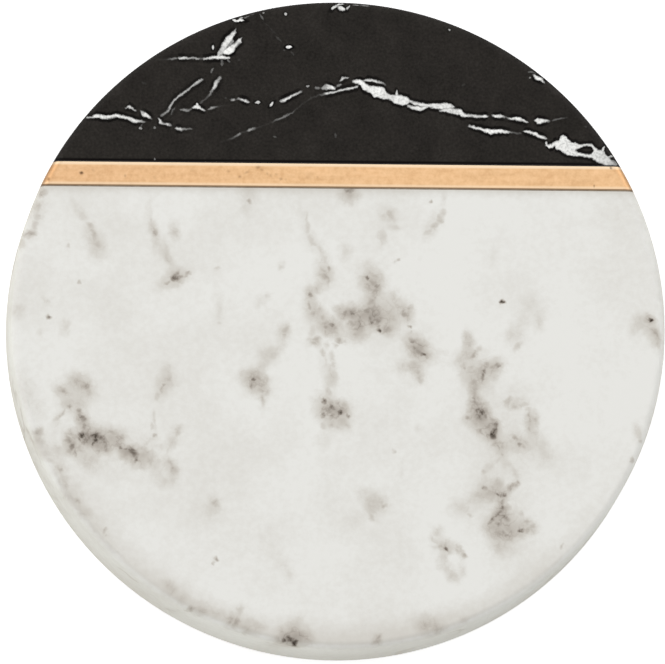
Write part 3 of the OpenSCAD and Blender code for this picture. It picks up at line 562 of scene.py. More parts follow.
# Broad soft ones under them, which add up
WHITE_SMUDGES = (
    # round whole clusters
    (-41, -19, -29, -21, 6.5, 9), (-44, -15, -41, -22, 5, 4), (25, -18.5, 29, -19.5, 6, 7),
    (23, -13, 24.5, -16, 6, 4), (24, -25, 26, -32, 8, 6), (27.5, -12.5, 30, -17, 4.5, 4),
    (12, -4, 12, -7, 5, 4), (2, 8, 6, 9, 6, 3),
    # upper left
    (-41, 19, -39.5, 16.5, 1.2, 7), (-38.4, 14.2, -37.2, 11.5, 2.4, 12), (-37.3, 10.8, 2.5, 7),
    (-29.7, 20, -29.2, 16, .8, 5), (-29.2, 16, -28.4, 13.4, 1.6, 12), (-28.3, 13, -26.8, 11, 2, 9),
    (-27, 11.5, -25.5, 8.2, 1.2, 15), (-25.5, 15.5, -25.4, 13.2, 1.3, 12),
    (-28, 5.8, -23, 7.9, 1.9, 16), (-18.6, 6, -18.3, -1, 1.4, 6), (-16.8, 3.5, -16.8, 2, 1, 4),
    (-42.7, .5, -42.3, -2.5, 1.3, 6), (-14.4, 18.6, -13.8, 19.6, 1.4, 7),
    (-8.8, 9.6, -9.2, 8.3, 1.1, 8), (-11.6, 3.5, -10.1, 4.7, 1, 7), (-8, -.5, -8.7, -2.5, 1.7, 12),
    (-9, -3.5, -11.5, -6.5, 1.7, 8), (-11.5, -6, -12.1, -8, 1.5, 8),
    # the ring of blotches at the left, and the cluster under it
    (-41.2, -8.8, -38.6, -11.5, 2.6, 15), (-42.7, -11, 2, 11), (-41.3, -13, 2.4, 10),
    (-40.8, -11, 4.6, 6), (-26.6, -8, -28, -11.5, 2, 13), (-26.8, -7.4, 2, 8),
    (-25.5, -9.5, 1.3, 8), (-39.9, -14, -39.4, -17, 1.6, 20), (-40.1, -17.8, 1.8, 22),
    (-42, -18, -41.5, -20.5, 1.7, 24), (-38.4, -17.7, -36.8, -19.2, 2.8, 30), (-36.5, -19.8, 2, 16),
    (-40.5, -18.5, -36.5, -19, 3.2, 10), (-35.6, -17, -33.8, -18, 2, 18), (-34.6, -18.8, 2, 14),
    (-34, -19.6, -31.4, -21.8, 2, 30), (-30.7, -20.8, -29.3, -22, 2.2, 18),
    (-40.5, -20.5, -38, -22.5, 2.2, 10), (-30, -19, -28.6, -17.4, 1, 7),
    (-44.3, -16, -42.9, -13.9, 1, 9), (-46.7, -17, -46, -20.5, 1.6, 14),
    (-48.6, -8, -46.6, -15, 2.6, 8), (-45.5, -20.5, -43.5, -20, 2, 8),
    (-43.4, -22.2, -42.9, -24.5, 1.8, 14), (-42.2, -26, -40, -29, 2.4, 9),
    (-38.8, -30.5, -35.8, -35.8, 2.2, 4), (-25.2, -16.8, -26, -19.2, 1.4, 8),
    (-26.6, -19, -28.6, -19.6, 1.1, 6), (-26.7, -21.3, -25.3, -23.8, 1.7, 13),
    (-28, -24.6, -25.8, -25, 2, 6), (-27.8, -22.3, 2, 5), (-19.5, -28.1, -19.2, -28.2, 1.7, 9),
    (-20, -29.2, 4, 5),
    # middle
    (-6, 18, -5, 15.5, 1.3, 5), (-5, 15, -2.6, 10.5, 1.7, 9), (1, 13, 1, 10, 1.8, 7),
    (-2.4, 9.2, -2, 6.8, 2.2, 14), (-2.2, 6.6, -4.4, 4.6, 1.4, 10), (-4.5, 5, -4.4, 1.5, 2, 12),
    (-4.2, 3, -2.5, .5, 2.4, 10), (-2.8, 0, 0, -.8, 2.3, 20), (-3.6, -2.5, 1.7, 9),
    (-2.4, -3.5, -1.2, -11, 1.8, 10), (-.3, -2.4, 1.5, -2.3, 1.1, 12),
    (4.8, 7.9, 5.6, 5.8, 2.8, 20), (5.7, 5.4, 5, 3.4, 1.6, 16), (3.8, 6.5, 1.6, 7),
    (.6, 2, 3, 1.5, 2.4, 22), (3, 1, 3.2, -1.5, 2.6, 22), (4.5, 2.8, 5.5, .3, 2.4, 24),
    (6, .8, 8.4, -.8, 2.4, 18), (6, 3.2, 9.5, 1.6, 3.4, 15), (7.8, 5, 10.4, 2.6, 1.8, 9),
    (10.4, 2.7, 10.9, 1, 1.9, 14), (4, 1, 6, 1, 6.5, 6), (11.4, -2.2, 13.8, -5, 2.4, 22),
    (12.1, -5.4, 12.7, -8.2, 2.1, 11), (11.2, -6.8, 9, -6.6, 1.9, 8),
    (7.4, 18.3, 8.3, 16.2, 1.8, 11), (6.8, 15.5, 6.8, 12.2, 1.1, 7), (8, 15.6, 9.6, 15.2, .9, 6),
    (16.6, 18.4, 13.2, 13.4, 1.6, 9), (-13.7, -8.7, -12, -10, 3, 22),
    (-11.5, -10, -11.8, -13, 1.3, 9), (-2.2, -12.4, -.2, -14.6, 3.3, 26), (.8, -13, 2, 12),
    (.5, -15, 2.2, 12), (-1.5, -16.8, -2.5, -18.6, 2, 7), (4.5, -27.2, 6.6, -28.2, 2.5, 14),
    (5, -29, 5.4, -31, 1.1, 12), (3.5, -30, 1, -31.5, 2, 4), (3.4, -26.5, 1.6, 4),
    (9.5, -21, 9.5, -24.5, .9, 4), (-13, -31, -9, -38, 3, 4), (-9.3, -36.5, -8, -39.5, 2, 5),
    # upper right
    (24.3, 12.5, 24.4, 9.5, 1.3, 5), (29.8, 5, 29, 0, 1.8, 5), (31.3, 3, 31.3, -1, 1.8, 7),
    (28.5, 1, 27.1, -3.6, 2.2, 8), (46.6, 1.1, 49.3, -1, 1.7, 18), (48.6, -.5, 50, -4, 1.6, 16),
    (46.1, .2, 1.8, 6), (46, -15, 46.8, -18.2, 1.4, 8), (42, 17.5, 46, 17.5, 5, 5),
    # the chain down the right
    (20.1, -1.2, 20.6, -5, 1.7, 18), (18, -4.6, 24, -4.2, 1.5, 8), (14.6, -4, 17.4, -5, 1.1, 6),
    (15.6, -6.2, 19, -6, 1.3, 6), (19.6, -5.8, 22, -9, 3.4, 20), (22.8, -6.6, 25.2, -6, 1.7, 26),
    (22.5, -7, 22.3, -8.6, 1.4, 22), (21, -9.5, 21, -12, 1.5, 22),
    (26.2, -12, 28.6, -12.3, 1.4, 13), (27, -10.4, 28.6, -10, 1.6, 4),
    (21, -12, 22.5, -14.5, 2.4, 30), (20.6, -15, 23.6, -16.4, 2.7, 24),
    (24.2, -15.3, 23.8, -17.4, 1.4, 30), (20, -14.3, 1.4, 12), (24.4, -17.8, 25.2, -19.7, 1.8, 18),
    (22.4, -23.6, 23.6, -21.8, 1, 8), (25.2, -20.6, 27.4, -22.8, 1, 8),
    (27.5, -23, 27.5, -24.6, 1.1, 9), (27, -18, 29, -18.8, 2, 16),
    (29.8, -13.4, 30, -16.8, 1.6, 15), (30, -17, 31.6, -19.2, 2, 7), (31, -19.5, 33.5, -22, 2.7, 6),
    (22.3, -25.3, 24.8, -26.5, 2.3, 22), (24.5, -24.8, 1.7, 12), (25.8, -26, 27.4, -24.8, 1, 20),
    (20.8, -26.6, 23, -26.8, 1.9, 12), (21.5, -28, 17, -28.8, 2.2, 7),
    (25.3, -26.8, 25.2, -28.6, 1.3, 20), (25.1, -29.5, 2.2, 20),
    (24.2, -30.5, 25.6, -30.8, 2.2, 12), (23.4, -31.6, 25.8, -32.8, 2.6, 20),
    (26.5, -31.5, 28.4, -32.1, 2.3, 20), (28.8, -30.8, 29.8, -32.1, 1.7, 15),
    (24, -34, 25.5, -34.9, 2.7, 8), (26, -31.6, 6, 6), (15, -34.7, 18, -34.8, 1.9, 20),
    (15.3, -32, 15, -34, 1.6, 9), (16, -36, 15.9, -37.2, 1.6, 12),
    (16.5, -38, 18.2, -39.8, 1.7, 12), (18.6, -35, 19.4, -36.6, 1.1, 14),
    (19.2, -37.6, 18.8, -39.5, 1.1, 6),
    # along the front rim
    (-27, -41.5, -25.4, -42.4, 2, 10), (-23.2, -44.4, -20, -45, 1.9, 15),
    (-17, -46.4, -15.8, -46.7, 2, 18), (-14.6, -47.4, -12.6, -47.8, 2, 14),
    (-9, -49, -5.6, -49, 2.6, 36), (-7.2, -47, -6.6, -46.4, 1.6, 9), (5.8, -49.2, 1.3, 20),
    (12, -46.6, 15.5, -47.4, 2.3, 18),
)

# Marks on the strip, in the same way
STRIP_MARKS = (
    (-39.95, 23.4, -39.65, 23.3, .45, 130), (-44.9, 22.5, -44.8, 22.3, .4, 60),
    (-33, 23.1, -33, 22.8, .35, 45), (-17, 23.8, .4, 35), (-15.3, 23, -15.1, 23, .35, 50),
    (-14.6, 23.4, -13.7, 24, .35, 40), (-12.6, 24.5, -12.2, 24.5, .45, 60),
    (-11.9, 24.2, -11.7, 24, .4, 42), (-11, 23.6, -10.9, 23.4, .4, 34),
    (-10.4, 23.3, -10.3, 23.1, .35, 34), (-9.6, 23.5, -9.5, 23.3, .3, 26),
    (-9, 22.75, -8.7, 22.7, .35, 52), (-8.2, 22.6, -8, 22.6, .3, 24),
    (-4.8, 23.1, -3.9, 23.4, .9, 14), (-3.2, 23.1, -3.1, 23, .35, 22),
    (2.6, 24.4, 2.7, 24.3, .4, 20), (42.4, 25.1, 42.65, 24.75, .3, 110),
    (39.9, 22.3, 39.9, 21.8, .2, 80), (-42.2, 24.2, -41.8, 24.1, .4, 12),
    (-38, 23.8, -37.9, 23.7, .4, 18), (-28.5, 23, -28.3, 22.4, .5, 14),
    (-22.8, 24, -22.4, 24, .5, 14),
)

# A vein's middle stays within half of this of the straight line between its ends
VEIN_SPAN_MM = 16
# No vein is wider than twice this
VEIN_HALF_MM = 2
# It tapers off over this length past its ends
VEIN_TAPER_MM = 0.3
# A vein's cover, and the dark shade beside it: the width in mm over which each falls by one, and
# its level at the vein's outline
VEIN_COVER = (0.25, 0.25)
VEIN_SHADE = (0.23, 2.6)
# The same for a crisp mark, over the squared distance, which is one at the mark's outline: the
# level in its middle, and how much that falls
SPOT_COVER = (1.5, 1.5)
SPOT_SHADE = (2.2, 0.55)
# How far marks reach from their line, in widths
CRISP_REACH = 0.55
SOFT_REACH = 1.7
BROAD_REACH = 1.0
STRIP_REACH = 1.2
# Brightness is traced as it looks, and light goes with this power of it
LIGHT_POWER = 2.2
# Marks are drawn in one of this many turned frames
TURNS = 12
# The deepest of the white stone's marks, in 8-bit levels
DEEPEST = 160

# How noise moves marks and veins, in layers of (grain, reach) in mm
WHITE_WANDER = ((4, 1.5), (1.2, 1.0), (0.5, 0.3))
THREAD_WANDER = (1.1, 0.8)
BLACK_WANDER = ((0.9, 0.45), (0.35, 0.3))
STRIP_WANDER = (0.6, 0.3)
# How much marks and veins slant towards x and y per mm of depth
WHITE_DIP = (0.35, -0.2)
BLACK_DIP = (-0.3, 0.25)
# The grain of noise: the stones' own grain and clouds, the threads of the white stone's marks, the
# veins of the sides, the strip's mottles and streaks, and the stones' patchy shine and bump
WHITE_GRAIN_MM = 0.9
WHITE_CLOUD_MM = 13
BLACK_GRAIN_MM = 0.4
BLACK_CLOUD_MM = 5
THREAD_MM = 2.4
WHITE_SIDE_VEIN_MM = 14
BLACK_SIDE_VEIN_MM = 17
MOTTLE_MM = 0.8
STREAK_MM = 0.5
SHINE_MM = 3
BUMP_MM = 0.22
# The streaks run along x
STREAK_STRETCH = (0.12, 1, 1)
# Painted shade dims the white stone over this width along the glue
GLUE_SHADE_MM = 1.8
# Each pair below is where a change begins and where it is complete.
# Depth under the top: the sides' own veins come in, the white stone's marks grow fainter, and the
# stone itself yellower, and dimmer with painted shade towards the table
SIDE_VEINS_MM = (1.5, 4.0)
WHITE_FADE_MM = (1.0, 5.0)
SIDE_TINT_MM = (0, 1.2)
LOW_SHADE_MM = (3, 12)
# Radius: painted shade grows on the front rim of the white stone
RIM_SHADE_MM = (45.5, 50.2)
# Distance from the glue: the black stone grows dark
GLUE_DARK_MM = (0.5, 0.15)
# Distance from the strip's back edge or its front one: painted highlights grow on it, with a
# painted shade line at the front
BACK_HIGHLIGHT_MM = (0.6, 0.25)
FRONT_HIGHLIGHT_MM = (0.7, 0.38)
FRONT_SHADE_MM = (0.24, 0.1)
# Distance from the rim: painted shade grows on the strip's ends. Place along it: painted light
# makes it brighter
END_SHADE_MM = (1.5, 0.7)
RIGHT_LIGHT_MM = (-48, 0)

# Colours in 8-bit levels, or (share, colour) steps of them
WHITE_TONES = (
    (0, (231.5, 231, 226.5)), (0.1, (213, 210, 203)), (0.225, (198, 193, 184.5)),
    (0.35, (179, 172, 163)), (0.47, (160, 153, 144)), (0.594, (140, 132, 123)),
    (0.72, (120, 112, 103)), (1, (60, 52, 44)),
)
BLACK_TONES = (
    (0.36, (37, 35, 33)), (0.44, (42, 40, 38)), (0.54, (46.5, 44, 41.5)), (0.64, (52, 49.5, 47)),
)
BLACK_SHADE = (19, 16, 14)
BLACK_VEIN = (256, 256, 253)
BRASS_TONES = ((0.3, (226, 180, 133)), (0.5, (236, 192, 145)), (0.7, (243, 200, 155)))
BRASS_EDGE_HIGHLIGHT = (253, 226, 192)
BRASS_EDGE_SHADE = (150, 122, 94)
BRASS_NICK = (60, 38, 22)
WHITE_SIDE_GLUE = ((112, 98, 80), (140, 126, 108))
BLACK_SIDE_GLUE = ((12, 8, 6), (26, 20, 16))
SILICONE = ((196, 195, 189), (206, 205, 199))
TAPE = ((226, 224, 214), (234, 232, 222))
# What a colour is multiplied by: on the white stone's side, on the strip's right part as painted
# light, and on its ends as painted shade
WHITE_SIDE_TINT = (1, 1, 0.965)
BRASS_RIGHT_LIGHT = (1.035, 1.055, 1.055)
BRASS_END_SHADE = (0.76, 0.72, 0.68)


def toned(steps, paint=tone):
    """The steps of a colour ramp."""
    return [(share, paint(*levels)) for share, levels in steps]


def wander(net, place, *layers):
    """The place moved to and fro by layers of noise: (grain, reach) in mm."""
    for grain_mm, reach_mm in layers:
        colour = net.noise(place, grain_mm)[1]
        shift = net.vector("SUBTRACT", colour, (0.5, 0.5, 0.5))
        place = net.vector("MULTIPLY_ADD", shift, (reach_mm, reach_mm, 0), place)
    return place


def on_plan(net, place, depth, dip):
    """x and y of a place, slanted by dip with the depth under the top, each in all three parts."""
    x, y, z = net.split(place)
    x = net.math("MULTIPLY_ADD", depth, dip[0], x)
    y = net.math("MULTIPLY_ADD", depth, dip[1], y)
    return net.all_three(x), net.all_three(y)


def by_threes(rows, spare):
    """The rows in threes, with spare ones in the gaps."""
    rows = list(rows)
    rows += [spare] * (-len(rows) % 3)
    return [rows[i:i + 3] for i in range(0, len(rows), 3)]


def vein_frame(points):
    """A vein on the straight line between its ends.

    Gives the two rows that turn x and y into the places along and across that line, and the
    vein's middle, half width and strength as stops along it."""
    (x0, y0), (x1, y1) = points[0][:2], points[-1][:2]
    length = math.hypot(x1 - x0, y1 - y0)
    run = length + 2 * VEIN_TAPER_MM
    ux, uy = (x1 - x0) / length, (y1 - y0) / length
    x0, y0 = x0 - ux * VEIN_TAPER_MM, y0 - uy * VEIN_TAPER_MM
    along = (ux / run, uy / run, -(x0 * ux + y0 * uy) / run)
    across = (-uy / VEIN_SPAN_MM, ux / VEIN_SPAN_MM, 0.5 + (x0 * uy - y0 * ux) / VEIN_SPAN_MM)
    middle, half, strength = [], [(0, 0)], [(0, 0)]
    for x, y, width, bright in points:
        place = ((x - x0) * ux + (y - y0) * uy) / run
        offset = (y - y0) * ux - (x - x0) * uy
        middle.append((place, 0.5 + offset / VEIN_SPAN_MM))
        half.append((place, width / 2 / VEIN_HALF_MM))
        strength.append((place, bright ** LIGHT_POWER))
    return along, across, middle, [*half, (1, 0)], [*strength, (1, 0)]


def vein_level(net, away, half, strength, edge_mm, at_outline):
    """The cover of veins, or their shade, at this distance from their middle."""
    grow, fall = VEIN_HALF_MM / edge_mm, -VEIN_SPAN_MM / edge_mm
    level = net.vector("MULTIPLY_ADD", half, (grow,) * 3, (at_outline,) * 3)
    level = net.vector("MULTIPLY_ADD", away, (fall,) * 3, level)
    return net.vector("MULTIPLY", net.vector("MINIMUM", level, (1, 1, 1)), strength)


def veins(net, east, north, rows):
    """How strongly veins cover the place, and their shade beside them. They go in threes."""
    most, shade = (0, 0, 0), (0, 0, 0)
    for three in by_threes(rows, rows[-1]):
        along, across, *stops = zip(*(vein_frame(points) for points in three))
        along, across = (
            net.vector("MULTIPLY_ADD", east, a, net.vector("MULTIPLY_ADD", north, b, c))
            for a, b, c in (zip(*along), zip(*across))
        )
        middle, half, strength = (
            net.curves(along, three_stops, handle)
            for three_stops, handle in zip(stops, ("AUTO_CLAMPED", "VECTOR", "VECTOR"))
        )
        away = net.vector("ABSOLUTE", net.vector("SUBTRACT", across, middle))
        cover = vein_level(net, away, half, strength, *VEIN_COVER)
        most = net.vector("MAXIMUM", cover, most)
        cover = vein_level(net, away, half, strength, *VEIN_SHADE)
        shade = net.vector("MAXIMUM", cover, shade)
    return net.greatest(most), net.greatest(shade)


def by_turn(marks):
    """The marks in threes, by the turn that suits them. Dots go where there is room."""
    turns = [[] for _ in range(TURNS)]
    dots = []
    for mark in marks:
        if len(mark) == 4:
            dots.append(mark[:2] + mark)
        else:
            way = math.atan2(mark[3] - mark[1], mark[2] - mark[0])
            turns[round(way * TURNS / math.pi) % TURNS].append(mark)
    for group in turns:
        while len(group) % 3 and dots:
            group.append(dots.pop())
    turns[0] += dots
    blank = (0, 0, 0, 0, 1, 0)
    return [(math.pi * i / TURNS, by_threes(group, blank)) for i, group in enumerate(turns)]


def spread(net, east, north, marks, reach, grow):
    """For each three marks: the squared distances from them, one unit at their outlines."""
    for turn, threes in by_turn(marks):
        if not threes:
            continue
        c, s = math.cos(turn), math.sin(turn)
        along, across = (
            net.vector("MULTIPLY_ADD", east, (a,) * 3, net.vector("MULTIPLY", north, (b,) * 3))
            for a, b in ((c, s), (-s, c))
        )
        for three in threes:
            sizes = []
            for x0, y0, x1, y1, width, depth in three:
                x, y = (x0 + x1) / 2, (y0 + y1) / 2
                half = reach * width
                long = math.hypot(x1 - x0, y1 - y0) / 2 + half
                u, v = grow(depth) / long, grow(depth) / half
                sizes.append((u, -(x * c + y * s) * u, v, -(y * c - x * s) * v))
            u, u0, v, v0 = zip(*sizes)
            u = net.vector("MULTIPLY_ADD", along, u, u0)
            v = net.vector("MULTIPLY_ADD", across, v, v0)
            yield three, net.vector("MULTIPLY_ADD", v, v, net.vector("MULTIPLY", u, u))


def spot_level(net, away, strength, in_middle, fall):
    """The cover of crisp marks, or their shade, at this squared distance from them."""
    level = net.vector(
        "MULTIPLY_ADD", away, tuple(-fall * s for s in strength),
        tuple(in_middle * s for s in strength),
    )
    return net.vector("MINIMUM", level, strength)


def crisp_marks(net, east, north, marks):
    """How strongly crisp marks cover the place, and their shade beside them."""
    most, shade = (0, 0, 0), (0, 0, 0)
    for three, away in spread(net, east, north, marks, CRISP_REACH, lambda bright: 1):
        strength = tuple(mark[5] ** LIGHT_POWER for mark in three)
        most = net.vector("MAXIMUM", spot_level(net, away, strength, *SPOT_COVER), most)
        shade = net.vector("MAXIMUM", spot_level(net, away, strength, *SPOT_SHADE), shade)
    return net.greatest(most), net.greatest(shade)


def soft_marks(net, east, north, marks, reach):
    """The deepest of the marks as a share of DEEPEST. Each fades out from its middle."""
    def root(depth):
        return (depth / DEEPEST) ** 0.25

    most = (0, 0, 0)
    for three, away in spread(net, east, north, marks, reach, lambda depth: root(depth) ** 0.5):
        level = net.vector("SUBTRACT", tuple(root(mark[5]) for mark in three), away)
        most = net.vector("MAXIMUM", level, most)
    most = net.greatest(most)
    square = net.math("MULTIPLY", most, most)
    return net.math("MULTIPLY", square, square)


def smudges(net, east, north, marks, reach):
    """The sum of broad marks as a share of DEEPEST. Each fades out from its middle."""
    def root(depth):
        return (depth / DEEPEST) ** 0.5

    total = (0, 0, 0)
    for three, away in spread(net, east, north, marks, reach, lambda depth: root(depth) ** 0.5):
        level = net.vector("SUBTRACT", tuple(root(mark[5]) for mark in three), away)
        level = net.vector("MAXIMUM", level, (0, 0, 0))
        total = net.vector("MULTIPLY_ADD", level, level, total)
    return net.vector("DOT_PRODUCT", total, (1, 1, 1))


def depth_under_top(net, place):
    return net.math("SUBTRACT", TOP_MM, net.split(place)[2])


def from_middle(net, value):
    """How far a noise is from its middle value: thin lines lie where that is next to nothing."""
    return net.math("ABSOLUTE", net.math("SUBTRACT", value, 0.5))


def side_veins(net, place, depth, grain_mm, core, edge, strength):
    """Thin veins of their own for the side and the underside."""
    ridge = net.noise(wander(net, place, (grain_mm / 3, grain_mm / 3)), grain_mm, 3)[0]
    thin = net.span(from_middle(net, ridge), edge, core)
    patch = net.span(net.noise(place, grain_mm * 1.7, 1)[0], 0.48, 0.66)
    low = net.span(depth, *SIDE_VEINS_MM)
    cover = net.math("MULTIPLY", net.math("MULTIPLY", thin, patch), low)
    return net.math("MULTIPLY", cover, strength)


def finish_stone(net, place, colour, cover, rough, bump, specular):
    """A stone's colour, its patchy shine, duller where veins cover it, and its fine bump."""
    even, patchy, on_veins = rough
    level = net.math("MULTIPLY_ADD", net.noise(place, SHINE_MM, 2)[0], patchy, even)
    net.give("Base Color", colour)
    net.give("Roughness", net.math("MULTIPLY_ADD", cover, on_veins, level))
    net.give("Specular IOR Level", specular)
    net.bump(net.noise(place, BUMP_MM, 2)[0], bump)
    return net.material


def white_veins(net, place, depth, grain):
    """The traced marks of the top, and thin veins lower down, as a share of DEEPEST."""
    east, north = on_plan(net, wander(net, place, *WHITE_WANDER), depth, WHITE_DIP)
    marks = soft_marks(net, east, north, WHITE_MARKS, SOFT_REACH)
    under = smudges(net, east, north, WHITE_SMUDGES, BROAD_REACH)
    marks = net.math("MULTIPLY_ADD", marks, marks, net.math("MULTIPLY", under, under))
    marks = net.math("SQRT", marks)
    marks = net.math("MULTIPLY", marks, net.span(grain, 0.3, 0.7, 0.93, 1.0))
    # gathered into fine threads
    thread = net.noise(wander(net, place, THREAD_WANDER), THREAD_MM, 3, 0.6)[0]
    thread = from_middle(net, thread)
    marks = net.math("MULTIPLY", marks, net.span(thread, 0.0, 0.06, 1.27, 0.93))
    marks = net.math("MULTIPLY", marks, net.span(depth, *WHITE_FADE_MM, 1.0, 0.35))
    own = side_veins(net, place, depth, WHITE_SIDE_VEIN_MM, 0, 0.035, 0.16)
    return net.math("MAXIMUM", marks, own)


def white_dimness(net, place, depth, grain):
    """What else dims the white stone, part by part, painted shade and painted light among it: 8-bit
    levels as shares of DEEPEST.
    """
    def levels(value, low, high, at_low, at_high):
        return net.span(value, low, high, at_low / DEEPEST, at_high / DEEPEST)

    x, y, z = net.split(place)
    # painted shade along the glue
    near = net.math(
        "MULTIPLY_ADD", y, 1 / GLUE_SHADE_MM, 1 - WHITE_EDGE_MM / GLUE_SHADE_MM, clamp=True
    )
    yield net.math("MULTIPLY", net.math("MULTIPLY", near, near), 17 / DEEPEST)
    # painted shade along the front rim
    radius = net.vector("LENGTH", net.join(x, y, 0.0))
    front = net.math("MULTIPLY", y, -1 / TRACED_R)
    rim = net.math("MULTIPLY", net.span(radius, *RIM_SHADE_MM), net.span(front, 0.2, 1.0))
    yield net.math("MULTIPLY", rim, levels(depth, 0.3, 0, 1, 15))
    # clouds and grain
    yield levels(net.noise(place, WHITE_CLOUD_MM, 3)[0], 0.3, 0.7, -3, 4)
    yield levels(grain, 0.25, 0.75, -2, 3)
    # painted light a little brighter to the right, and painted shade dimmer towards the table
    yield levels(x, -TRACED_R, TRACED_R, 2.4, 0.2)
    yield levels(depth, *LOW_SHADE_MM, 0, 6)


def white_stone():
    """Pale marble: grey brown marks, with painted shade along the strip and brownish painted shade
    along the front rim.
    """
    net = Net("white_marble")
    place = net.place()
    depth = depth_under_top(net, place)
    grain = net.noise(place, WHITE_GRAIN_MM, 3, 0.6)[0]
    total = white_veins(net, place, depth, grain)
    for part in white_dimness(net, place, depth, grain):
        total = net.math("ADD", total, part)
    colour = net.ramp(total, toned(WHITE_TONES))
    side = net.vector("MULTIPLY", colour, WHITE_SIDE_TINT)
    colour = net.mix(net.span(depth, *SIDE_TINT_MM), colour, side)
    return finish_stone(net, place, colour, total, (0.46, 0.14, 0.2), 0.35, 0.2)


def black_stone():
    """Near-black marble with crisp pale veins, and darker beside them."""
    def dark(*levels):
        return tone(*levels, sheen=BLACK_SHEEN)

    net = Net("black_marble")
    place = net.place()
    depth = depth_under_top(net, place)
    east, north = on_plan(net, wander(net, place, *BLACK_WANDER), depth, BLACK_DIP)
    most, shade = veins(net, east, north, BLACK_VEINS)
    spots, round_spots = crisp_marks(net, east, north, BLACK_MARKS)
    most = net.math("MAXIMUM", most, spots)
    shade = net.math("MAXIMUM", shade, round_spots)
    grain = net.noise(place, BLACK_GRAIN_MM, 3, 0.6)[0]
    most = net.math("MULTIPLY", most, net.span(grain, 0.32, 0.6, 0.72, 1.05))
    own = side_veins(net, place, depth, BLACK_SIDE_VEIN_MM, 0.006, 0.02, 0.85)
    most = net.math("MAXIMUM", most, own)
    cloud = net.math("MULTIPLY", net.noise(place, BLACK_CLOUD_MM, 4, 0.6)[0], 0.4)
    base = net.ramp(net.math("MULTIPLY_ADD", grain, 0.6, cloud), toned(BLACK_TONES, dark))
    # dark beside the veins and along the glue
    past_glue = net.math("SUBTRACT", net.split(place)[1], BLACK_EDGE_MM)
    shade = net.math("MAXIMUM", shade, net.span(past_glue, *GLUE_DARK_MM))
    base = net.mix(shade, base, dark(*BLACK_SHADE))
    colour = net.mix(most, base, dark(*BLACK_VEIN))
    return finish_stone(net, place, colour, most, (0.42, 0.16, 0.1), 0.3, 0.05)


def strip_metal():
    """Honed brass with a pink warmth: mottled, with small nicks, painted highlights along the long
    edges, a painted shade line at the front one, painted shade on the ends and painted light to the
    right.
    """
    def metal(*levels):
        return tone(*levels, lit=METAL_LEVEL)

    net = Net("brass")
    place = net.place()
    x, y, z = net.split(place)
    east, north = on_plan(net, wander(net, place, STRIP_WANDER), 0.0, (0, 0))
    marks = soft_marks(net, east, north, STRIP_MARKS, STRIP_REACH)
    mottle = net.noise(place, MOTTLE_MM, 4, 0.65)[0]
    streak = net.noise(place, STREAK_MM, 2, 0.5, STREAK_STRETCH)[0]
    level = net.math("ADD", mottle, net.math("MULTIPLY_ADD", streak, 0.35, -0.175))
    colour = net.ramp(level, toned(BRASS_TONES, metal))
    # painted light: brighter to the right
    right = net.vector("MULTIPLY", colour, BRASS_RIGHT_LIGHT)
    colour = net.mix(net.span(x, *RIGHT_LIGHT_MM), colour, right)
    # painted highlights along both long edges, with a painted shade line at the front one
    front, back = STRIP_EDGES_MM
    to_front, to_back = net.math("SUBTRACT", y, front), net.math("SUBTRACT", back, y)
    pale = metal(*BRASS_EDGE_HIGHLIGHT)
    colour = net.mix(net.span(to_back, *BACK_HIGHLIGHT_MM), colour, pale)
    share = net.math("MULTIPLY", net.span(to_front, *FRONT_HIGHLIGHT_MM), 0.6)
    colour = net.mix(share, colour, pale)
    colour = net.mix(net.span(to_front, *FRONT_SHADE_MM), colour, metal(*BRASS_EDGE_SHADE))
    # painted shade on the rounded ends, which dims their reflection
    to_rim = net.math("SUBTRACT", TRACED_R, net.vector("LENGTH", net.join(x, y, 0.0)))
    end_shade = net.vector("MULTIPLY", colour, BRASS_END_SHADE)
    colour = net.mix(net.span(to_rim, *END_SHADE_MM), colour, end_shade)
    net.give("Base Color", net.mix(marks, colour, metal(*BRASS_NICK)))
    net.give("Metallic", 1)
    rough = net.math("MULTIPLY_ADD", streak, 0.2, 0.4)
    net.give("Roughness", net.math("MULTIPLY_ADD", marks, 0.3, rough))
    net.bump(net.math("MULTIPLY_ADD", marks, -3.0, mottle), 0.2)
    return net.material


def plain_matter(name, colours, grain_mm, roughness, specular=0.3, depth_mm=BUMP_DEPTH_MM):
    """A matter of one colour that varies a little: its darker and its lighter colour."""
    net = Net(name)
    place = net.place()
    grain = net.noise(place, grain_mm, 3, 0.6)[0]
    net.give("Base Color", net.ramp(grain, toned(zip((0.3, 0.7), colours))))
    net.give("Roughness", net.math("MULTIPLY_ADD", grain, 0.2, roughness))
    net.give("Specular IOR Level", specular)
    net.bump(net.noise(place, grain_mm / 3, 2)[0], 0.3, depth_mm)
    return net.material


def dress(node, material):
    data = NODES[node].data
    data.materials.clear()
    data.materials.append(material)


def dress_all():
    """Each CAD node gets its material."""
    dress("white_marble", white_stone())
    dress("black_marble", black_stone())
    dress("brass_strip", strip_metal())
    dress("white_glue_line", plain_matter("white_side_glue", WHITE_SIDE_GLUE, 0.8, 0.4))
    dress("black_glue_line", plain_matter("black_side_glue", BLACK_SIDE_GLUE, 0.8, 0.4))
    silicone = plain_matter("foot_silicone", SILICONE, 3, 0.3, specular=0.4)
    tape = plain_matter("foot_tape", TAPE, 1, 0.6, depth_mm=0.03)
    for node in NODES:
        if node.startswith("foot"):
            dress(node, tape if node.startswith("foot_tape") else silicone)


